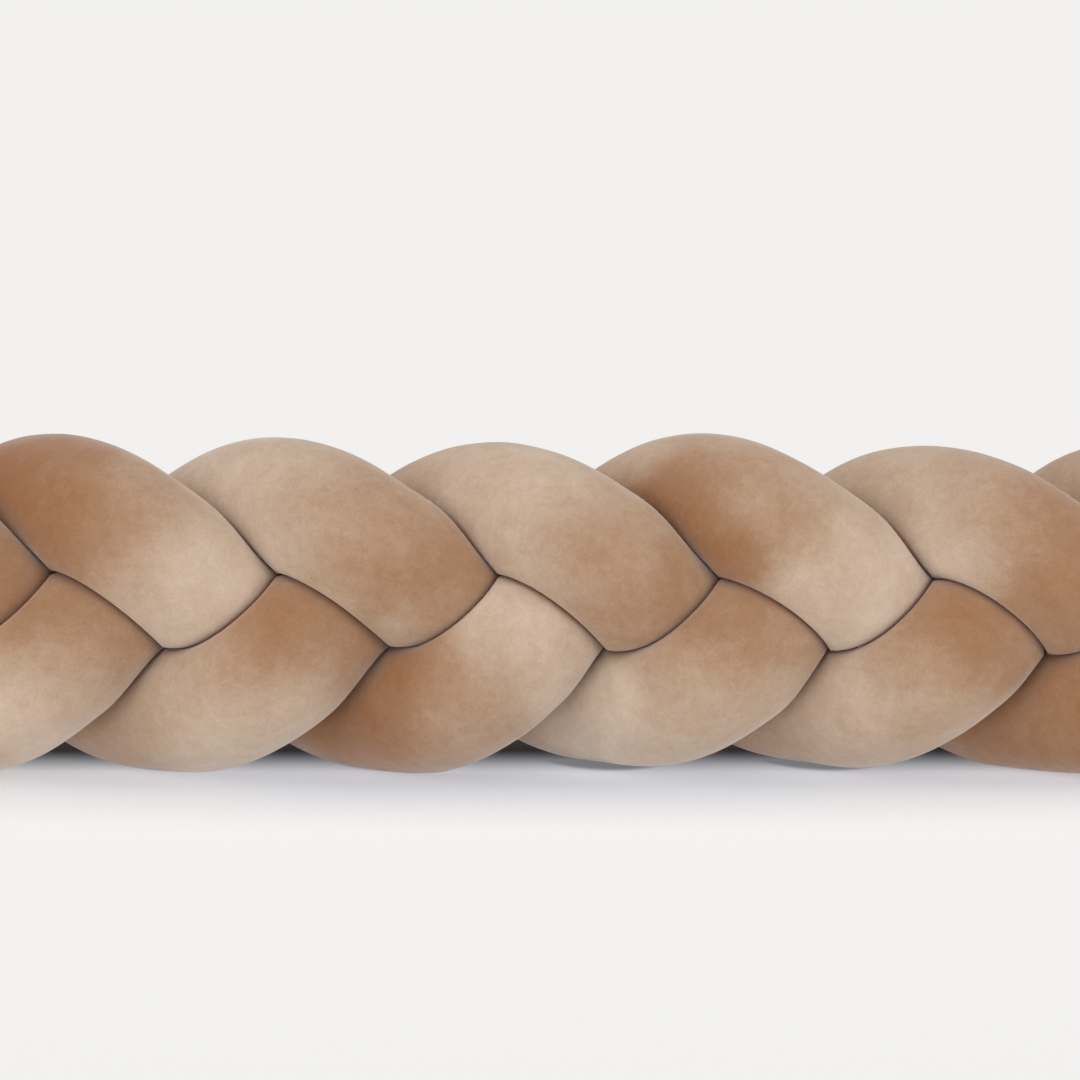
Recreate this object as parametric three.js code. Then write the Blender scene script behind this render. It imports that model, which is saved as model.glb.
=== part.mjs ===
// Braided cot bumper: three stuffed velvet tubes plaited together, standing on its long edge.
// Millimetres. X runs along the plait, Z is up and the front faces -Y.
import * as THREE from "three";

const { clamp, lerp, smoothstep } = THREE.MathUtils;

// Overall sizes. The plait is as long as one long side of a small cot.
const LENGTH = 1200;
const HALF_LENGTH = LENGTH / 2;

// A tube keeps its girth all along. Where its neighbours press it narrow it swells the other way,
// but its free side never stands out further than the stuffing can push it.
const TUBE_RADIUS = 42;
const GIRTH = 2 * Math.PI * TUBE_RADIUS;
const FREE_RADIUS_MOST = 44;
const SWELL_EASED_OVER = 44;
const SHOULDER_ROUNDING = 4;

// How the tubes weave. Each one passes the front and the back once for every edge it visits, a
// little late, and it turns round the edges slightly more sharply than a cosine does.
const WEAVE_DEPTH = 30;
const WEAVE_LAG = 0.2;
const TURN_SHARPNESS = 0.03;

// Behind, on its way down to a foot, a tube hangs lower than this and fills the hollow between feet.
const BACK_SAG = 9;

const SPACE_BETWEEN_TUBES = 1.2;
const PRESSED_BY_FLOOR = 2.8;

// Both ends are drawn together and closed round.
const GATHER_LENGTH = 140;
const GATHER_START = HALF_LENGTH - GATHER_LENGTH;
const GATHERED_TO = 0.86;
const GATHERED_DROP = 60;
const ROUND_END_LENGTH = 52;

// Fineness of the faceted tubes.
const SIDES = 18;
const BODY_RINGS = 130;
const END_RINGS = 5;
const SLOPE_STEP = 0.5;
const TRACE_STEP = 2;
const NEIGHBOUR_REACH = 72;
const ROOM_MOST = 90;
const WALK_STEPS = 24;
const HALVINGS = 16;

// One row for each pass of a tube, from left to right. A tube lies over the upper edge at its crest,
// comes down across the front, dives behind and turns round the lower edge at its foot.
// Rise and drop are how far its centreline stands above and below the middle of the plait.
// The three tubes take the rows in turn, and the rows past both ends only carry the curve on.
const PASSES = [
  { crest: -809, rise: 56.5, foot: -603, drop: 58.5 },
  { crest: -678, rise: 55.5, foot: -474, drop: 59.4 },
  { crest: -548, rise: 55.0, foot: -350, drop: 59.5 },
  { crest: -418, rise: 56.5, foot: -217, drop: 59.6 },
  { crest: -287, rise: 57.2, foot: -83, drop: 59.7 },
  { crest: -155, rise: 54.6, foot: 53, drop: 55.0 },
  { crest: -25, rise: 52.0, foot: 180, drop: 54.8 },
  { crest: 99, rise: 57.0, foot: 308, drop: 59.4 },
  { crest: 234, rise: 50.0, foot: 441, drop: 59.3 },
  { crest: 366, rise: 53.5, foot: 573, drop: 59.2 },
  { crest: 497, rise: 56.5, foot: 704, drop: 58.5 },
  { crest: 628, rise: 55.5, foot: 835, drop: 58.5 },
  { crest: 758, rise: 55.5, foot: 966, drop: 58.5 },
];

const TUBES = [
  { name: "strand_a", firstPass: 0, colour: 0xb99a7d },
  { name: "strand_b", firstPass: 1, colour: 0xbb9c80 },
  { name: "strand_c", firstPass: 2, colour: 0xb7977a },
];

// The places where a tube turns back: its crests and feet in order, half a turn of phase apart.
function turnsOf(tube) {
  const turns = [];
  for (let row = tube.firstPass; row < PASSES.length; row += 3) {
    const pass = PASSES[row];
    turns.push({ x: pass.crest, height: pass.rise });
    turns.push({ x: pass.foot, height: -pass.drop });
  }
  const [first, second] = turns;
  turns.unshift({ x: 2 * first.x - second.x, height: second.height });
  turns.forEach((turn, i) => {
    turn.phase = (i - 1) * Math.PI;
  });
  return turns;
}

// How fast the phase runs at a turn: the harmonic mean of the stretches on either side.
function phaseRate(turns, i) {
  const before = i > 0 ? Math.PI / (turns[i].x - turns[i - 1].x) : null;
  const after = i < turns.length - 1 ? Math.PI / (turns[i + 1].x - turns[i].x) : null;
  if (before === null) return after;
  if (after === null) return before;
  return (2 * before * after) / (before + after);
}

// The weaving slows to nothing over the gathered ends, so that the tubes run out straight.
function weavePlace(x) {
  const body = Math.min(Math.abs(x), GATHER_START);
  const share = clamp((Math.abs(x) - GATHER_START) / GATHER_LENGTH, 0, 1);
  return Math.sign(x) * (body + GATHER_LENGTH * (share - share ** 2 / 2));
}

// The centreline at x: nearly a cosine from edge to edge, and a figure of eight seen from the end.
function centreAt(turns, x) {
  const place = weavePlace(x);
  let i = 0;
  while (i < turns.length - 2 && turns[i + 1].x < place) i += 1;
  const span = turns[i + 1].x - turns[i].x;
  const t = (place - turns[i].x) / span;
  const phase =
    (1 + 2 * t) * (1 - t) ** 2 * turns[i].phase +
    t * (1 - t) ** 2 * span * phaseRate(turns, i) +
    t * t * (3 - 2 * t) * turns[i + 1].phase +
    t * t * (t - 1) * span * phaseRate(turns, i + 1);
  const turned = phase - turns[i].phase;
  const swing = lerp(Math.cos(turned), Math.cos(3 * turned), TURN_SHARPNESS);
  const comesDownBehind = Math.sin(phase) > 0 && Math.cos(phase) < 0;
  const sag = comesDownBehind ? BACK_SAG * Math.sin(2 * phase) ** 2 : 0;
  const height = lerp(turns[i].height, turns[i + 1].height, (1 - swing) / 2) - sag;
  const spread = lerp(1, GATHERED_TO, smoothstep(Math.abs(x), GATHER_START, HALF_LENGTH));
  return new THREE.Vector3(
    x,
    -WEAVE_DEPTH * Math.sin(2 * phase - WEAVE_LAG) * spread,
    height * spread - GATHERED_DROP * (1 - spread),
  );
}

// Points close together along the whole centreline, for measuring how near a tube is.
function traceOf(turns) {
  const points = [];
  for (let x = -HALF_LENGTH - GATHER_LENGTH; x <= HALF_LENGTH + GATHER_LENGTH; x += TRACE_STEP) {
    points.push(centreAt(turns, x));
  }
  return points;
}

function distanceTo(trace, point, nearX) {
  const middle = Math.round((nearX - trace[0].x) / TRACE_STEP);
  const reach = NEIGHBOUR_REACH / TRACE_STEP;
  const from = Math.max(0, middle - reach);
  const to = Math.min(trace.length - 1, middle + reach);
  let least = Infinity;
  for (let i = from; i <= to; i += 1) {
    least = Math.min(least, point.distanceToSquared(trace[i]));
  }
  return Math.sqrt(least);
}

// How far a ray can go out from a tube's centreline before another tube is as near, less half the
// space between them. Half the difference of the two distances is always a clear way further out.
function roomAlong(centre, direction, ownTrace, otherTraces) {
  let reach = 0;
  const point = new THREE.Vector3();
  for (let i = 0; i < WALK_STEPS && reach < ROOM_MOST; i += 1) {
    point.copy(centre).addScaledVector(direction, reach);
    const own = Math.min(reach, distanceTo(ownTrace, point, centre.x));
    const others = otherTraces.map((trace) => distanceTo(trace, point, centre.x));
    reach += (Math.min(...others) - own - SPACE_BETWEEN_TUBES) / 2;
  }
  return reach;
}

// A free side is round and a pressed side lies along its neighbour, with a rounded shoulder between.
function sideRadius(room, freeRadius) {
  const share = clamp(0.5 + (room - freeRadius) / (2 * SHOULDER_ROUNDING), 0, 1);
  return lerp(room, freeRadius, share) - SHOULDER_ROUNDING * share * (1 - share);
}

function girthOf(radii) {
  const turn = (2 * Math.PI) / radii.length;
  return radii.reduce((total, radius, i) => {
    const next = radii[(i + 1) % radii.length];
    return total + Math.sqrt(radius ** 2 + next ** 2 - 2 * radius * next * Math.cos(turn));
  }, 0);
}

// The free radius that gives a ring the tube's girth, up to the most that the stuffing allows.
function freeRadiusFor(rooms) {
  let small = 0;
  let large = FREE_RADIUS_MOST;
  for (let i = 0; i < HALVINGS; i += 1) {
    const radius = (small + large) / 2;
    if (girthOf(rooms.map((room) => sideRadius(room, radius))) > GIRTH) large = radius;
    else small = radius;
  }
  return (small + large) / 2;
}

// Rings stand evenly along the tube and close up towards the round ends.
function ringPlaces() {
  const body = HALF_LENGTH - ROUND_END_LENGTH;
  const places = [];
  for (let i = 0; i < BODY_RINGS; i += 1) {
    places.push({ x: lerp(-body, body, i / (BODY_RINGS - 1)), rounding: 1 });
  }
  for (let i = 1; i < END_RINGS; i += 1) {
    const angle = (Math.PI / 2) * (i / END_RINGS);
    const x = body + ROUND_END_LENGTH * Math.sin(angle);
    places.push({ x, rounding: Math.cos(angle) });
    places.unshift({ x: -x, rounding: Math.cos(angle) });
  }
  return places;
}

// A ring's rays stand square to the centreline, and the first one points as nearly up as that allows.
function raysAt(turns, x) {
  const along = centreAt(turns, x + SLOPE_STEP).sub(centreAt(turns, x - SLOPE_STEP)).normalize();
  const back = new THREE.Vector3(0, 1, 0);
  back.addScaledVector(along, -along.y).normalize();
  const up = new THREE.Vector3().crossVectors(along, back);
  return Array.from({ length: SIDES }, (_, side) => {
    const angle = (2 * Math.PI * side) / SIDES;
    return up.clone().multiplyScalar(Math.cos(angle)).addScaledVector(back, Math.sin(angle));
  });
}

// The swelling changes slowly along a tube, so each ring takes the weighted mean of those near it.
function eased(rings) {
  return rings.map((ring) => {
    let total = 0;
    let weights = 0;
    for (const other of rings) {
      const apart = Math.abs(other.x - ring.x) / SWELL_EASED_OVER;
      if (apart >= 1) continue;
      const weight = 1 + Math.cos(Math.PI * apart);
      total += weight * other.freeRadius;
      weights += weight;
    }
    return total / weights;
  });
}

// A closed skin over the rings, with a point at each end.
function skinOver(rings, startPoint, endPoint) {
  const points = [startPoint, ...rings.flat(), endPoint];
  const faces = [];
  const at = (ring, side) => 1 + ring * SIDES + (side % SIDES);
  for (let side = 0; side < SIDES; side += 1) {
    faces.push(0, at(0, side), at(0, side + 1));
    for (let ring = 0; ring < rings.length - 1; ring += 1) {
      faces.push(at(ring, side), at(ring + 1, side), at(ring + 1, side + 1));
      faces.push(at(ring, side), at(ring + 1, side + 1), at(ring, side + 1));
    }
    faces.push(points.length - 1, at(rings.length - 1, side + 1), at(rings.length - 1, side));
  }
  const geometry = new THREE.BufferGeometry().setFromPoints(points);
  geometry.setIndex(faces);
  geometry.computeVertexNormals();
  return geometry;
}

// One stuffed tube, with its points still measured from the middle of the plait.
function tubeGeometry(tube, tubes) {
  const otherTraces = tubes.filter((other) => other !== tube).map((other) => other.trace);
  const rings = ringPlaces().map(({ x, rounding }) => {
    const centre = centreAt(tube.turns, x);
    const rays = raysAt(tube.turns, x);
    const rooms = rays.map((ray) => roomAlong(centre, ray, tube.trace, otherTraces));
    return { x, rounding, centre, rays, rooms, freeRadius: freeRadiusFor(rooms) };
  });
  const freeRadii = eased(rings);
  const points = rings.map((ring, i) =>
    ring.rays.map((ray, side) => {
      const radius = sideRadius(ring.rooms[side], freeRadii[i] * ring.rounding);
      return ring.centre.clone().addScaledVector(ray, radius);
    }),
  );
  return skinOver(points, centreAt(tube.turns, -HALF_LENGTH), centreAt(tube.turns, HALF_LENGTH));
}

// Sets the plait down: its lowest feet are pressed flat, and the origin is under its middle.
function standOnFloor(geometries) {
  const box = new THREE.Box3();
  for (const geometry of geometries) {
    geometry.computeBoundingBox();
    box.union(geometry.boundingBox);
  }
  const middle = box.getCenter(new THREE.Vector3());
  const floor = box.min.z + PRESSED_BY_FLOOR;
  for (const geometry of geometries) {
    geometry.translate(-middle.x, -middle.y, -floor);
    const position = geometry.getAttribute("position");
    for (let i = 0; i < position.count; i += 1) {
      position.setZ(i, Math.max(0, position.getZ(i)));
    }
    geometry.computeVertexNormals();
  }
}

function braid() {
  const tubes = TUBES.map((tube) => {
    const turns = turnsOf(tube);
    return { ...tube, turns, trace: traceOf(turns) };
  });
  const geometries = tubes.map((tube) => tubeGeometry(tube, tubes));
  standOnFloor(geometries);
  const group = new THREE.Group();
  group.name = "braided_crib_bumper";
  tubes.forEach((tube, i) => {
    const velvet = new THREE.MeshStandardMaterial({ color: tube.colour, roughness: 0.95 });
    const mesh = new THREE.Mesh(geometries[i], velvet);
    mesh.name = tube.name;
    group.add(mesh);
  });
  return group;
}

export default braid();
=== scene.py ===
import math

import bpy
import numpy as np
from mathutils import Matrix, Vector, noise


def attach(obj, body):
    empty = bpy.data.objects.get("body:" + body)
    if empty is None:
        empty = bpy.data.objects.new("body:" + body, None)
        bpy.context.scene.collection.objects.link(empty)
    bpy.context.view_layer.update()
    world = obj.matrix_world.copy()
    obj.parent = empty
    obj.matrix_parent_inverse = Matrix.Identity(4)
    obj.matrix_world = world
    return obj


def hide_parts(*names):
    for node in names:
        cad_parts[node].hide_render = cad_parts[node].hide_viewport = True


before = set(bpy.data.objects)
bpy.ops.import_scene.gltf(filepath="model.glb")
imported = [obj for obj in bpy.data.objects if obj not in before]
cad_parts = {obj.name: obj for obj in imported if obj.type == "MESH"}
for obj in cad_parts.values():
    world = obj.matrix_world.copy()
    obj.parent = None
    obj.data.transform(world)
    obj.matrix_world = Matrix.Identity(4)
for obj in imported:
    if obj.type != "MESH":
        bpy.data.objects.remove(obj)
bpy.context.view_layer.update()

# The three stuffed tubes
# Each tube is sewn from short-pile velvet, stuffed firmly with fibre and closed round at its ends.
# The three are plaited tightly, and each is pressed flat where it lies against another.

# Sizes are in millimetres. x runs along the plait, and heights count from its middle.
HALF_LENGTH = 600
TUBE_RADIUS = 42
SPACE_BETWEEN_TUBES = 0.4
MIDDLE_HEIGHT = 100.9
FOOT_ROUNDING = 1.6

# How far the free side of a pressed tube may swell, over what length the swelling evens out, and
# how wide a shoulder joins a free side to a pressed one.
FREE_RADIUS_MOST = 44
SWELL_EASED_OVER = 44
SHOULDER_ROUNDING = 8

# How a tube weaves to the front and the back, and sags where it comes down behind the others.
WEAVE_DEPTH = 30
WEAVE_LAG = 0.2
TURN_SHARPNESS = 0.03
BACK_SAG = 9

# Towards both ends the tubes draw in, and each closes round with puckers and a shallow dimple.
GATHER_LENGTH = 140
GATHER_START = HALF_LENGTH - GATHER_LENGTH
GATHERED_TO = 0.86
GATHERED_DROP = 60
ROUND_END_LENGTH = 52
PUCKERS = 14
PUCKER_DEPTH = 1.2
PUCKER_REACH = 40
END_DIMPLE = 4
DIMPLED_WITHIN = 0.35

# The soft bumps of the stuffing: how high, how wide, and the seed of their noise.
BROAD_BUMPS = (1.3, 55, 3)
SMALL_BUMPS = (0.5, 20, 4)
SEED_SHIFTS = (17.3, 5.1, 9.7)
CLOTH_APART = 2000

# How finely the shape is worked out.
RAYS = 132
SURVEY_RAYS = 60
CROWDING = 3.5
CROWDED_OVER = 5
RINGS_BLENDED = 7
BODY_RINGS = 680
END_RINGS = 26
TRACE_STEP = 4
SLOPE_STEP = 0.5
NEIGHBOUR_REACH = 76
ROOM_MOST = 60
WALK_STEPS = 22
HALVINGS = 18
STRETCHES = 48
LEAST_BEND = 1e-6
MILLIMETRE = 0.001

# One row for each pass of a tube, from left to right: where it lies over the upper edge and how
# high, and where it turns round the lower edge and how deep. The tubes take the rows in turn.
PASSES = np.array([
    # crest x, rise, foot x, drop
    (-809, 56.5, -603, 58.5),
    (-678, 55.5, -474, 59.4),
    (-548, 55.0, -350, 59.5),
    (-418, 56.5, -217, 59.6),
    (-287, 57.2, -83, 59.7),
    (-155, 54.6, 53, 55.0),
    (-25, 52.0, 180, 54.8),
    (99, 57.0, 308, 59.4),
    (234, 50.0, 441, 59.3),
    (366, 53.5, 573, 59.2),
    (497, 56.5, 704, 58.5),
    (628, 55.5, 835, 58.5),
    (758, 55.5, 966, 58.5),
])


def turns_of(tube):
    """The crests and feet of a tube in order, x and height, with one more foot before the first."""
    rows = PASSES[tube::3]
    x = rows[:, [0, 2]].ravel()
    height = (rows[:, [1, 3]] * (1, -1)).ravel()
    return np.append(2 * x[0] - x[1], x), np.append(height[1], height)


def smooth_step(value, start, end):
    """0 up to the start and 1 from the end on, with a smooth rise between them."""
    share = np.clip((value - start) / (end - start), 0, 1)
    return share * share * (3 - 2 * share)


def behind_share(phase):
    """How far behind a tube is on its way down to a foot: 1 halfway there, 0 at a crest or foot."""
    comes_down_behind = (np.sin(phase) > 0) & (np.cos(phase) < 0)
    return comes_down_behind * np.sin(2 * phase) ** 2


def centreline(turns, x):
    """Points on a tube's centreline, and the phase of its weave: a half turn from crest to foot."""
    turn_x, height = turns

    # Where the tubes draw in, the weave slows down, and at the very ends it stops
    over = np.clip((np.abs(x) - GATHER_START) / GATHER_LENGTH, 0, 1)
    body = np.minimum(np.abs(x), GATHER_START)
    place = np.sign(x) * (body + GATHER_LENGTH * (over - over**2 / 2))
    i = np.clip(np.searchsorted(turn_x, place) - 1, 0, len(turn_x) - 2)

    # The phase gains half a turn between a crest and a foot, at a rate that changes smoothly
    span = turn_x[i + 1] - turn_x[i]
    t = (place - turn_x[i]) / span
    rate = np.pi / np.diff(turn_x)[[0, *range(len(turn_x) - 1)]]
    rate[1:-1] = 2 * np.pi / (turn_x[2:] - turn_x[:-2])
    turned = (
        t * (1 - t) ** 2 * span * rate[i]
        + t * t * (3 - 2 * t) * np.pi
        + t * t * (t - 1) * span * rate[i + 1]
    )
    phase = (i - 1) * np.pi + turned

    # The height swings between crest and foot, and the depth between front and back
    swing = (1 - TURN_SHARPNESS) * np.cos(turned) + TURN_SHARPNESS * np.cos(3 * turned)
    tall = height[i] + (height[i + 1] - height[i]) * (1 - swing) / 2
    tall -= BACK_SAG * behind_share(phase)
    spread = 1 - (1 - GATHERED_TO) * smooth_step(np.abs(x), GATHER_START, HALF_LENGTH)
    deep = -WEAVE_DEPTH * np.sin(2 * phase - WEAVE_LAG) * spread
    tall = tall * spread - GATHERED_DROP * (1 - spread)
    return np.stack([x + 0 * deep, deep, tall], axis=-1), phase


def distance_to(points, trace):
    """How far points are from a centreline that is given by points a small step apart."""
    square = (points**2).sum(1)[:, None] - 2 * points @ trace.T + (trace**2).sum(1)
    i = np.clip(square.argmin(1), 1, len(trace) - 2)
    row = np.arange(len(points))
    before, here, after = square[row, i - 1], square[row, i], square[row, i + 1]
    slope = (after - before) / 2
    bend = np.maximum(before - 2 * here + after, LEAST_BEND)
    shift = np.clip(-slope / bend, -1, 1)
    return np.sqrt(np.maximum(here + slope * shift + bend * shift**2 / 2, 0))


def room_along(x, centre, rays, own, others):
    """How far each ray goes before another tube is as near, less half the space between them."""
    reach = np.zeros(rays.shape[:2])
    near = np.abs(own[:, 0] - x.mean()) < NEIGHBOUR_REACH + np.ptp(x)
    for _ in range(WALK_STEPS):
        points = (centre[:, None] + reach[..., None] * rays).reshape(-1, 3)
        own_distance = np.minimum(reach.ravel(), distance_to(points, own[near]))
        other_distance = np.minimum(*(distance_to(points, other[near]) for other in others))
        step = (other_distance - own_distance - SPACE_BETWEEN_TUBES) / 2
        reach = np.minimum(reach + step.reshape(reach.shape), ROOM_MOST)
    return reach


def rays_at(up, back, angle):
    """The rays of each ring at the given angles, counted from up towards the back."""
    return np.cos(angle)[..., None] * up[:, None] + np.sin(angle)[..., None] * back[:, None]


def rooms_around(centre, rays, own, others):
    """The room along every ray, worked out a stretch of the tube at a time."""
    stretches = np.array_split(np.arange(len(ring_x)), STRETCHES)
    parts = [room_along(ring_x[part], centre[part], rays[part], own, others) for part in stretches]
    return np.concatenate(parts)


def side_radius(room, free_radius):
    """A free side is round, a pressed side follows its neighbour, and a rounded shoulder joins them."""
    share = np.clip(0.5 + (room - free_radius) / (2 * SHOULDER_ROUNDING), 0, 1)
    return room + (free_radius - room) * share - SHOULDER_ROUNDING * share * (1 - share)


def free_radius_for(rooms):
    """The free radius that gives each ring the girth of its tube, up to what the stuffing allows."""
    turn = 2 * math.pi / rooms.shape[1]
    small = np.zeros(len(rooms))
    large = np.full(len(rooms), float(FREE_RADIUS_MOST))
    for _ in range(HALVINGS):
        middle = (small + large) / 2
        radius = side_radius(rooms, middle[:, None])
        following = np.roll(radius, -1, axis=1)
        chord = np.sqrt(radius**2 + following**2 - 2 * radius * following * math.cos(turn))
        too_wide = chord.sum(1) > 2 * math.pi * TUBE_RADIUS
        large = np.where(too_wide, middle, large)
        small = np.where(too_wide, small, middle)
    return (small + large) / 2


def eased(values):
    """Values along a tube, each taken as the weighted mean of those near it."""
    near = np.clip(np.abs(ring_x[:, None] - ring_x) / SWELL_EASED_OVER, 0, 1)
    weight = (1 + np.cos(np.pi * near)) * np.gradient(ring_x)
    return (weight @ values) / weight.sum(1)


def crowded_angles(rooms, free_radius):
    """Angles of the rays on each ring, closer together at the shoulders, where the tube bends most."""
    pressed = (rooms - free_radius[:, None]) / CROWDED_OVER
    density = 1 + CROWDING * np.exp(-(pressed**2))
    density = sum(np.roll(density, shift, axis=1) for shift in (-1, 0, 1)) / 3
    blend = np.hanning(2 * RINGS_BLENDED + 1)
    blend /= blend.sum()
    padded = np.pad(density, ((RINGS_BLENDED, RINGS_BLENDED), (0, 0)), mode="edge")
    density = np.apply_along_axis(np.convolve, 0, padded, blend, mode="valid")
    total = np.concatenate([np.zeros((len(density), 1)), np.cumsum(density, axis=1)], axis=1)
    even = 2 * math.pi * np.arange(rooms.shape[1] + 1) / rooms.shape[1]
    wanted = np.arange(RAYS) / RAYS
    return np.array([np.interp(wanted * row[-1], row, even) for row in total])


def noise_over(cloth, height, width, seed):
    """Smooth bumps over places on the cloth, about as high and as wide as given."""
    shift = Vector([seed * step for step in SEED_SHIFTS])
    flat = cloth.reshape(-1, 3) / width
    values = [noise.noise(Vector(place) + shift) for place in flat]
    return height * np.array(values).reshape(cloth.shape[:-1])


def ways_across(turns):
    """The ways up and back at each ring, both square to the centreline."""
    along = centreline(turns, ring_x + SLOPE_STEP)[0] - centreline(turns, ring_x - SLOPE_STEP)[0]
    along /= np.linalg.norm(along, axis=1, keepdims=True)
    back = np.array([0.0, 1.0, 0.0]) - along * along[:, 1:2]
    back /= np.linalg.norm(back, axis=1, keepdims=True)
    return np.cross(along, back), back


def cloth_places(tube, centre, ray_angle):
    """Where each point lies on its cloth, as if the tube were straight and round."""
    step = np.linalg.norm(np.diff(centre, axis=0), axis=1)
    run = np.concatenate([[0], np.cumsum(step)]) + CLOTH_APART * tube
    girth = (TUBE_RADIUS * np.cos(ray_angle), TUBE_RADIUS * np.sin(ray_angle))
    return np.stack(np.broadcast_arrays(run[:, None], *girth), axis=-1)


def unevenness(cloth, ray_angle):
    """The soft bumps of the stuffing, and the puckers round each end."""
    bumps = noise_over(cloth, *BROAD_BUMPS) + noise_over(cloth, *SMALL_BUMPS)
    near_end = smooth_step(np.abs(ring_x), HALF_LENGTH - PUCKER_REACH, HALF_LENGTH)[:, None]
    return bumps - PUCKER_DEPTH * near_end * (1 + np.cos(PUCKERS * ray_angle + 2 * bumps))


def pressed_flat(height):
    """Heights over the surface, where all that would be below it lies flat on it."""
    above = np.clip(0.5 + height / (2 * FOOT_ROUNDING), 0, 1)
    return height * above + FOOT_ROUNDING * above * (1 - above)


def closed_mesh(name, places):
    """Joins a tube's rings by quads, with a fan of triangles round the point at each end."""
    here = np.arange(RAYS)
    beside = np.roll(here, -1)
    ring = 1 + RAYS * np.arange(len(ring_x) - 1)[:, None]
    quads = np.stack([ring + here, ring + RAYS + here, ring + RAYS + beside, ring + beside], axis=-1)
    pairs = list(zip(here.tolist(), beside.tolist()))
    last = len(places) - 1
    fans = [(0, 1 + a, 1 + b) for a, b in pairs]
    fans += [(last, last - RAYS + b, last - RAYS + a) for a, b in pairs]
    mesh = bpy.data.meshes.new(name)
    mesh.from_pydata((places * MILLIMETRE).tolist(), [], quads.reshape(-1, 4).tolist() + fans)
    mesh.shade_smooth()
    return mesh


body_end = HALF_LENGTH - ROUND_END_LENGTH
end_angle = np.linspace(0, math.pi / 2, END_RINGS + 1)[1:-1]
end_x = body_end + ROUND_END_LENGTH * np.sin(end_angle)
end_share = np.cos(end_angle)
ring_x = np.concatenate([-end_x[::-1], np.linspace(-body_end, body_end, BODY_RINGS), end_x])
ring_share = np.concatenate([end_share[::-1], np.ones(BODY_RINGS), end_share])
trace_x = np.arange(-HALF_LENGTH - GATHER_LENGTH, HALF_LENGTH + GATHER_LENGTH + 1, TRACE_STEP)
traces = [centreline(turns_of(tube), trace_x.astype(float))[0] for tube in range(3)]

# The short pile has been stroked this way and that. It is pale where it was smoothed and deep tan
# where it was brushed up, in soft patches that each tube has for itself. Deep between the tubes,
# where the pile is pressed against the next tube, a darker and warmer painted shade is laid over it.

# Each row is a patch on the front: the pass it is on, whether on the part that comes down from
# the crest (0) or rises from the foot (1), its middle, its reach, and how pale (1) or deep (-1).
BRUSHED = np.array([
    # pass, part, x, z, reach, tone
    (3, 0, -318, 118, 22, -0.8),
    (2, 1, -288, 98, 20, -0.7),
    (2, 1, -250, 82, 18, -0.3),
    (2, 1, -306, 36, 28, 1.1),
    (2, 1, -262, 56, 18, 0.5),
    (4, 0, -302, 160, 30, -1.5),
    (4, 0, -275, 150, 22, -0.8),
    (4, 0, -285, 198, 16, -0.9),
    (4, 0, -235, 168, 20, 0.1),
    (4, 0, -240, 120, 20, 0.6),
    (4, 0, -196, 108, 24, 1.2),
    (3, 1, -152, 94, 20, -0.8),
    (3, 1, -116, 76, 18, -0.4),
    (3, 1, -190, 66, 20, 0.2),
    (3, 1, -236, 48, 20, 0.3),
    (3, 1, -186, 22, 22, 1.1),
    (3, 1, -134, 44, 16, 1.0),
    (5, 0, -186, 166, 22, 0.9),
    (5, 0, -158, 142, 18, 0.9),
    (5, 0, -118, 150, 22, 0.0),
    (5, 0, -84, 128, 22, -0.3),
    (5, 0, -52, 122, 14, -0.5),
    (5, 0, -132, 110, 14, 0.5),
    (5, 0, -84, 88, 8, 0.4),
    (5, 0, -150, 190, 16, 0.5),
    (4, 1, -96, 42, 20, -1.15),
    (4, 1, -84, 68, 14, -1.2),
    (4, 1, -50, 48, 20, 0.0),
    (4, 1, -56, 12, 18, 0.2),
    (4, 1, -12, 100, 20, 1.0),
    (4, 1, 14, 72, 20, 0.9),
    (6, 0, -44, 160, 22, 0.7),
    (6, 0, -12, 140, 18, 0.7),
    (6, 0, 8, 178, 20, 0.8),
    (6, 0, 26, 140, 18, 0.0),
    (6, 0, 46, 112, 20, -0.2),
    (6, 0, 80, 110, 14, -0.5),
    (6, 0, 10, 104, 12, 0.5),
    (5, 1, 104, 96, 18, -0.7),
    (5, 1, 138, 78, 18, -0.2),
    (5, 1, 78, 62, 16, 0.1),
    (5, 1, 34, 40, 20, 1.2),
    (5, 1, 84, 24, 24, 0.8),
    (5, 1, 140, 48, 16, 0.7),
    (7, 0, 58, 190, 12, 0.9),
    (7, 0, 78, 166, 16, -1.2),
    (7, 0, 98, 138, 19, -1.3),
    (7, 0, 118, 178, 20, 0.1),
    (7, 0, 142, 156, 20, 0.1),
    (7, 0, 150, 108, 14, 0.8),
    (7, 0, 178, 140, 18, 0.7),
    (7, 0, 200, 104, 26, 1.1),
    (6, 1, 244, 90, 18, -0.8),
    (6, 1, 276, 72, 16, -0.6),
    (6, 1, 220, 60, 18, 0.1),
    (6, 1, 172, 44, 20, 0.8),
    (6, 1, 206, 20, 20, 0.6),
    (6, 1, 254, 40, 16, 0.6),
    (8, 0, 200, 168, 20, 0.6),
    (8, 0, 236, 132, 20, 1.1),
    (8, 0, 262, 168, 20, 0.1),
    (8, 0, 304, 132, 26, -0.7),
    (7, 1, 302, 46, 30, -0.85),
    (9, 0, 322, 180, 20, 0.3),
])

# A patch shows on its own part of a pass only, between these phases. Noise of the given height
# and width shifts the patches a little, and the middle tone has this weight everywhere.
PART_STARTS = (-1.2, -0.7)
PART_ENDS = (2.2, 2.7)
PATCH_WANDER = (7, 34)
PATCH_SEEDS = (5, 6)
MIDDLE_TONE_WEIGHT = 0.12

# Where the cloth faces away from the front, and past the front's ends, strokes of noise take the
# place of the patches. They too are given by height, width and seed.
FACES_FRONT = (-0.25, 0.35)
FRONT_ENDS = (326, 400)
STROKE_TONE = 0.15
LONG_STROKES = (1.9, 95, 1)
SHORT_STROKES = (0.9, 42, 2)
STROKES_KEPT_TO = (-1.1, 1)
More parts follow.
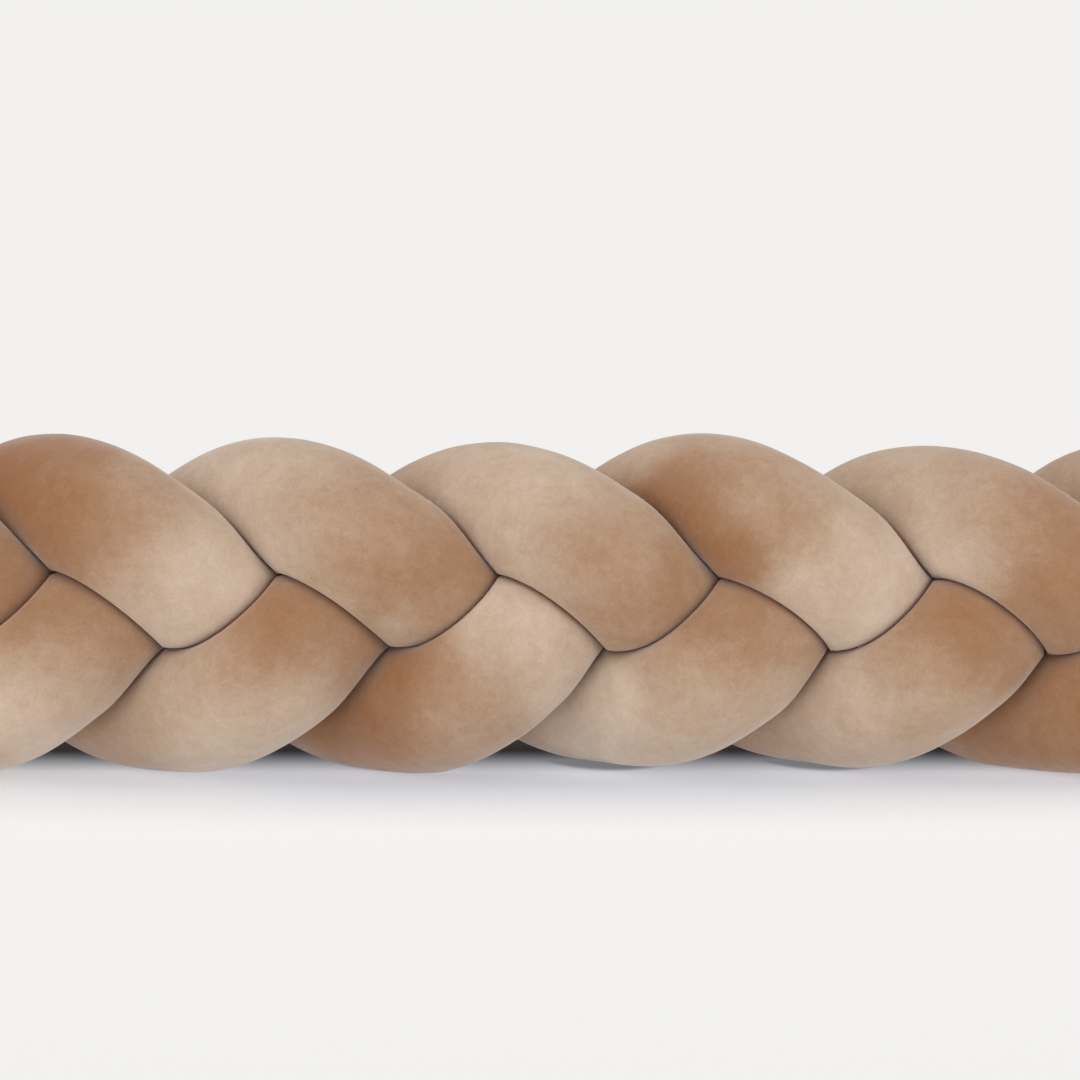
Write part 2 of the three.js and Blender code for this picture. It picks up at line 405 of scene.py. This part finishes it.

# How far a tube's side stands off its neighbour where the painted shade between them is full, and gone.
CREASE_SHADE_FULL_AT = 0.1
CREASE_SHADE_GONE_AT = 1.2

# The tones of the pile as they look on a screen, and where the middle two come between deep and
# pale. A tone counted from -1 to 1 is scaled and moved to suit.
DEEP = (157, 108, 70)
TAN = (173, 134, 102)
BEIGE = (194, 167, 142)
PALEST = (217, 197, 177)
# The painted shade deep between the tubes, as it looks on a screen
CREASE_SHADE_COLOUR = (195, 128, 72)
TAN_AT = 0.33
BEIGE_AT = 0.67
TONE_SCALE = 0.4
TONE_MIDDLE = 0.5

# Scale, detail and strength of the pile's fine unevenness, from the broadest to the finest.
MOTTLING = (34, 2, 0.9)
FLECKS = (160, 3, 0.65)
GRAIN = (520, 3, 0.65)


def pile_tone(tube, places, cloth, phase, rays):
    """How pale or deep the pile is: the patches on the front, and others like them elsewhere."""
    wander = [noise_over(cloth, *PATCH_WANDER, seed) for seed in PATCH_SEEDS]
    view = places[..., [0, 2]] + np.stack(wander, axis=-1)
    facing = smooth_step(-rays[..., 1], *FACES_FRONT)
    total = np.zeros(view.shape[:2])
    weights = np.full(view.shape[:2], MIDDLE_TONE_WEIGHT)
    for pass_number, part, x, z, reach, tone in BRUSHED:
        if pass_number % 3 != tube:
            continue
        turned = phase - math.pi * (2 * (pass_number // 3) + part)
        here = smooth_step(turned, *PART_STARTS) * (1 - smooth_step(turned, *PART_ENDS))
        apart = ((view - (x, z)) ** 2).sum(-1) / (2 * reach**2)
        weight = np.exp(-apart) * here[:, None]
        total += weight * tone
        weights += weight
    placed = total / weights
    strokes = STROKE_TONE + noise_over(cloth, *LONG_STROKES) + noise_over(cloth, *SHORT_STROKES)
    shown = facing * (1 - smooth_step(np.abs(places[..., 0]), *FRONT_ENDS))
    return placed * shown + np.clip(strokes, *STROKES_KEPT_TO) * (1 - shown)


def store_on_points(mesh, name, values):
    """Gives every point of the mesh a value that its material reads."""
    attribute = mesh.attributes.new(name, "FLOAT", "POINT")
    attribute.data.foreach_set("value", values.astype(np.float32))


# Short-pile velvet. The helpers add to the node tree that nodes and links stand for at the time.
velvet = bpy.data.materials.new("tan_velvet")
velvet.use_nodes = True
nodes = velvet.node_tree.nodes
links = velvet.node_tree.links
cloth_shader = nodes["Principled BSDF"]
cloth_shader.inputs["Roughness"].default_value = 0.95
cloth_shader.inputs["Diffuse Roughness"].default_value = 0.6
cloth_shader.inputs["Specular IOR Level"].default_value = 0.12
cloth_shader.inputs["Sheen Weight"].default_value = 0.5
cloth_shader.inputs["Sheen Roughness"].default_value = 0.45
cloth_shader.inputs["Sheen Tint"].default_value = (0.96, 0.94, 0.93, 1)

tone = nodes.new("ShaderNodeAttribute")
tone.attribute_name = "tone"
place = nodes.new("ShaderNodeTexCoord")


def add_maths(operation, *values):
    """A Math node's result, from numbers and the outputs of other nodes."""
    node = nodes.new("ShaderNodeMath")
    node.operation = operation
    for socket, value in zip(node.inputs, values):
        if isinstance(value, (int, float)):
            socket.default_value = value
        else:
            links.new(value, socket)
    return node.outputs[0]


def pile_noise(scale, detail, strength):
    """A fine noise in the pile, as it is and as a swing of the given strength about 0."""
    texture = nodes.new("ShaderNodeTexNoise")
    texture.inputs["Scale"].default_value = scale
    texture.inputs["Detail"].default_value = detail
    texture.inputs["Roughness"].default_value = 0.55
    links.new(place.outputs["Object"], texture.inputs["Vector"])
    swing = add_maths("MULTIPLY", add_maths("SUBTRACT", texture.outputs[0], 0.5), strength)
    return texture.outputs[0], swing


def mixed(share, first, second):
    """The first colour going over into the second, each three numbers or another node's output."""
    node = nodes.new("ShaderNodeMix")
    node.data_type = "RGBA"
    share_socket, first_socket, second_socket = (node.inputs[i] for i in (0, 6, 7))
    links.new(share, share_socket)
    for socket, colour in ((first_socket, first), (second_socket, second)):
        if isinstance(colour, tuple):
            socket.default_value = (*colour, 1)
        else:
            links.new(colour, socket)
    return node.outputs[2]


def linear(red, green, blue):
    """A colour given as it looks on a screen, 0 to 255, in the linear values that Blender takes."""
    return tuple(((value / 255 + 0.055) / 1.055) ** 2.4 for value in (red, green, blue))


_, mottled = pile_noise(*MOTTLING)
flecks, flecked = pile_noise(*FLECKS)
grain, grained = pile_noise(*GRAIN)
coarse = add_maths("ADD", tone.outputs["Fac"], mottled)
lie = add_maths("ADD", coarse, add_maths("ADD", flecked, grained))

ramp = nodes.new("ShaderNodeValToRGB")
stops = ramp.color_ramp.elements
ramp_stops = (stops[0], stops.new(TAN_AT), stops.new(BEIGE_AT), stops[-1])
for stop, colour in zip(ramp_stops, (DEEP, TAN, BEIGE, PALEST)):
    stop.color = (*linear(*colour), 1)
links.new(add_maths("MULTIPLY_ADD", lie, TONE_SCALE, TONE_MIDDLE), ramp.inputs["Fac"])

# Painted shade: darker, warmer pile where a tube lies close against another
crease_shade = nodes.new("ShaderNodeAttribute")
crease_shade.attribute_name = "crease_shade"
pile_colour = mixed(crease_shade.outputs["Fac"], ramp.outputs["Color"], linear(*CREASE_SHADE_COLOUR))
links.new(pile_colour, cloth_shader.inputs["Base Color"])

relief = nodes.new("ShaderNodeBump")
relief.inputs["Strength"].default_value = 0.35
relief.inputs["Distance"].default_value = 0.0006
links.new(add_maths("ADD", grain, flecks), relief.inputs["Height"])
links.new(relief.outputs["Normal"], cloth_shader.inputs["Normal"])

for tube, name in enumerate(("stuffed_tube_a", "stuffed_tube_b", "stuffed_tube_c")):
    turns = turns_of(tube)
    centre, phase = centreline(turns, ring_x)
    up, back = ways_across(turns)
    others = [traces[other] for other in range(3) if other != tube]

    # A survey with few rays gives the free radius and shows where the rays have to be close
    survey_angle = np.tile(2 * math.pi * np.arange(SURVEY_RAYS) / SURVEY_RAYS, (len(ring_x), 1))
    rooms = rooms_around(centre, rays_at(up, back, survey_angle), traces[tube], others)
    free_radius = eased(free_radius_for(rooms))
    ray_angle = crowded_angles(rooms, free_radius)
    rays = rays_at(up, back, ray_angle)
    rooms = rooms_around(centre, rays, traces[tube], others)

    # The skin of the tube, its round and dimpled ends, and its flat feet
    cloth = cloth_places(tube, centre, ray_angle)
    swollen = free_radius[:, None] + unevenness(cloth, ray_angle)
    radius = side_radius(rooms, swollen * ring_share[:, None])
    skin = centre[:, None] + radius[..., None] * rays
    dimple = END_DIMPLE * smooth_step(ring_share, DIMPLED_WITHIN, 0) ** 2 * np.sign(ring_x)
    skin[..., 0] -= dimple[:, None]
    ends = centreline(turns, np.array([-HALF_LENGTH, HALF_LENGTH], dtype=float))[0]
    ends[:, 0] -= END_DIMPLE * np.sign(ends[:, 0])
    places = np.concatenate([ends[:1], skin.reshape(-1, 3), ends[1:]])
    places[:, 2] = pressed_flat(places[:, 2] + MIDDLE_HEIGHT)
    mesh = closed_mesh(name, places)

    # How its pile lies, and the painted shade where it lies close against another tube
    tones = pile_tone(tube, skin + (0, 0, MIDDLE_HEIGHT), cloth, phase, rays)
    tones = np.concatenate([[tones[0].mean()], tones.ravel(), [tones[-1].mean()]])
    store_on_points(mesh, "tone", tones)
    # The painted shade is full where the side nearly meets its neighbour
    crease_shades = 1 - smooth_step(rooms - radius, CREASE_SHADE_FULL_AT, CREASE_SHADE_GONE_AT)
    store_on_points(mesh, "crease_shade", np.concatenate([[0], crease_shades.ravel(), [0]]))

    mesh.materials.append(velvet)
    piece = bpy.data.objects.new(name, mesh)
    bpy.context.collection.objects.link(piece)
    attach(piece, "root")
    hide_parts("strand_" + name[-1])

# The floor, the light and the camera
# The plait stands on a matt pale table top with a painted glow, and with painted shade under and
# behind the plait, in front of a plain pale wall that only the camera sees. The light is soft, and
# most of it comes from the front. The camera looks at the front of the plait from a little above.

# Colours in linear values: the wall and the far floor, the table top and its painted glow, the
# same two close to the plait, where they are painted cooler and the top darker as a painted shade,
# and the soft shade painted under and behind it.
PALE = (0.887, 0.878, 0.862)
PAPER = (0.954, 0.944, 0.927)
GLOW = (0.225, 0.224, 0.22)
COOL_SHADED_PAPER = (0.58, 0.6, 0.64)
COOL_GLOW = (0.205, 0.217, 0.24)
SHADED = (0.11, 0.095, 0.098)

# Distances in metres from the plait's middle, over which the cool painted shade goes and the far
# floor comes. Lengthways they count for less, so that the cool painted shade follows the plait.
COOL_FLOOR = (0.03, 0.24)
FAR_FLOOR = (0.5, 1.3)
LENGTHWAYS = 0.3

# The painted glow is stronger close to the plait, a painted pool of light from a little in front
# of it, and the painted shade starts under it. Both fade out behind the plait and towards its ends.
NEAR_GLOW = 0.8
NEAR_GLOW_FROM = (-0.065, -0.005)
SHADE_STARTS = (-0.015, 0.085)
SHADE_FADES = (0.22, 0.12)
SHADE_ENDS = (0.56, 0.3)

# Each foot has a weaker painted shade of its own, a painted contact shadow, which starts along a curve
# that follows the foot.
ONE_FOOT = -0.352
FOOT_SPACING = 0.1318
FOOT_CURVE = 20
FOOT_SHADE_STARTS = (-0.012, 0.008)
FOOT_SHADE = 0.6

# Floor and wall are far wider than the plait, in metres.
ROUND_STEPS = 96
FLOOR_RADIUS = 30
WALL_RADIUS = 29
WALL_HEIGHT = 28

# The light comes from all round, and is brightest on the side that BRIGHT_SIDE points to.
BRIGHT_SIDE = (-0.1, -1, 0.05)
BRIGHTENS_OVER = (-0.6, 1)
BRIGHT_SKY = (1.46, 1.475, 1.5)
DIM_SKY = (0.226, 0.221, 0.211)

# The camera stands far off and sees a narrow stretch. Lengths are in metres, the sensor's in mm.
CAMERA_DISTANCE = 2.2
CAMERA_ELEVATION = math.radians(5)
AIM_HEIGHT = 0.1385
VIEW_WIDTH = 0.6448
SENSOR_WIDTH = 36


def soft_step(value, start, end):
    """0 before the start and 1 past the end, with a smooth rise between. The end may come first."""
    node = nodes.new("ShaderNodeMapRange")
    node.interpolation_type = "SMOOTHSTEP"
    node.inputs["From Min"].default_value = start
    node.inputs["From Max"].default_value = end
    links.new(value, node.inputs["Value"])
    return node.outputs["Result"]


def plain_pale():
    """The plain tone of the wall and of the far floor, which no shadow falls on."""
    node = nodes.new("ShaderNodeEmission")
    node.inputs["Color"].default_value = (*PALE, 1)
    return node.outputs[0]


bpy.ops.object.select_all(action="DESELECT")
bpy.ops.mesh.primitive_circle_add(vertices=ROUND_STEPS, radius=FLOOR_RADIUS, fill_type="NGON")
floor = bpy.context.object
floor.name = "floor"
floor_material = bpy.data.materials.new("pale_floor")
floor_material.use_nodes = True
nodes = floor_material.node_tree.nodes
links = floor_material.node_tree.links
nodes.clear()
floor_place = nodes.new("ShaderNodeTexCoord")
floor_xyz = nodes.new("ShaderNodeSeparateXYZ")
links.new(floor_place.outputs["Object"], floor_xyz.inputs[0])
floor_x = floor_xyz.outputs["X"]
floor_y = floor_xyz.outputs["Y"]
squeeze = nodes.new("ShaderNodeMapping")
squeeze.inputs["Scale"].default_value = (LENGTHWAYS, 1, 1)
links.new(floor_place.outputs["Object"], squeeze.inputs["Vector"])
distance = nodes.new("ShaderNodeVectorMath")
distance.operation = "LENGTH"
links.new(squeeze.outputs["Vector"], distance.inputs[0])
away = distance.outputs["Value"]

# How dark the painted shade is, and how strong the painted glow, a painted pool of light near the plait
from_foot = add_maths("PINGPONG", add_maths("SUBTRACT", floor_x, ONE_FOOT), FOOT_SPACING / 2)
foot_edge = add_maths("MULTIPLY", add_maths("POWER", from_foot, 2), FOOT_CURVE)
behind_edge = soft_step(add_maths("SUBTRACT", floor_y, foot_edge), *FOOT_SHADE_STARTS)
under_foot = add_maths("MULTIPLY", behind_edge, FOOT_SHADE)
under_plait = add_maths("MAXIMUM", soft_step(floor_y, *SHADE_STARTS), under_foot)
by_middle = soft_step(add_maths("ABSOLUTE", floor_x), *SHADE_ENDS)
by_plait = add_maths("MULTIPLY", soft_step(floor_y, *SHADE_FADES), by_middle)
shade = add_maths("MULTIPLY", under_plait, by_plait)
nearest = add_maths("MULTIPLY", soft_step(floor_y, *NEAR_GLOW_FROM), NEAR_GLOW)
added_glow = add_maths("MULTIPLY", nearest, by_plait)
unshaded = add_maths("SUBTRACT", 1, shade)
glow_strength = add_maths("MULTIPLY", unshaded, add_maths("ADD", 1, added_glow))

# The matt top with its painted shade and painted glow, which give way to the plain tone further off
warm = soft_step(away, *COOL_FLOOR)
matt = nodes.new("ShaderNodeBsdfDiffuse")
links.new(mixed(shade, mixed(warm, COOL_SHADED_PAPER, PAPER), SHADED), matt.inputs["Color"])
# The painted glow: the table top gives off light of its own, though it is no lamp
glow = nodes.new("ShaderNodeEmission")
links.new(mixed(warm, COOL_GLOW, GLOW), glow.inputs["Color"])
links.new(glow_strength, glow.inputs["Strength"])
table_top = nodes.new("ShaderNodeAddShader")
links.new(matt.outputs[0], table_top.inputs[0])
links.new(glow.outputs[0], table_top.inputs[1])
blend = nodes.new("ShaderNodeMixShader")
links.new(soft_step(away, *FAR_FLOOR), blend.inputs["Fac"])
links.new(table_top.outputs[0], blend.inputs[1])
links.new(plain_pale(), blend.inputs[2])
surface = nodes.new("ShaderNodeOutputMaterial")
links.new(blend.outputs[0], surface.inputs["Surface"])
floor.data.materials.append(floor_material)

bpy.ops.object.select_all(action="DESELECT")
bpy.ops.mesh.primitive_cylinder_add(
    vertices=ROUND_STEPS, radius=WALL_RADIUS, depth=WALL_HEIGHT, end_fill_type="NOTHING"
)
wall = bpy.context.object
wall.name = "wall"
wall_material = bpy.data.materials.new("pale_wall")
wall_material.use_nodes = True
nodes = wall_material.node_tree.nodes
links = wall_material.node_tree.links
nodes.clear()
surface = nodes.new("ShaderNodeOutputMaterial")
links.new(plain_pale(), surface.inputs["Surface"])
wall.data.materials.append(wall_material)

# The wall lights nothing and shows in nothing, so only the camera sees it
wall.visible_diffuse = False
wall.visible_glossy = False

world = bpy.data.worlds.new("soft_light")
world.use_nodes = True
bpy.context.scene.world = world
nodes = world.node_tree.nodes
links = world.node_tree.links
look = nodes.new("ShaderNodeTexCoord")
toward = nodes.new("ShaderNodeVectorMath")
toward.operation = "DOT_PRODUCT"
toward.inputs[1].default_value = Vector(BRIGHT_SIDE).normalized()
links.new(look.outputs["Generated"], toward.inputs[0])
brightness = soft_step(toward.outputs["Value"], *BRIGHTENS_OVER)
links.new(mixed(brightness, DIM_SKY, BRIGHT_SKY), nodes["Background"].inputs["Color"])
bpy.context.scene.view_settings.view_transform = "Standard"

camera_data = bpy.data.cameras.new("camera")
camera = bpy.data.objects.new("camera", camera_data)
bpy.context.collection.objects.link(camera)
back_to_camera = Vector((0, -math.cos(CAMERA_ELEVATION), math.sin(CAMERA_ELEVATION)))
camera.location = Vector((0, 0, AIM_HEIGHT)) + back_to_camera * CAMERA_DISTANCE
camera.rotation_euler = (-back_to_camera).to_track_quat("-Z", "Y").to_euler()
camera_data.sensor_width = SENSOR_WIDTH
camera_data.lens = SENSOR_WIDTH * CAMERA_DISTANCE / VIEW_WIDTH
bpy.context.scene.camera = camera
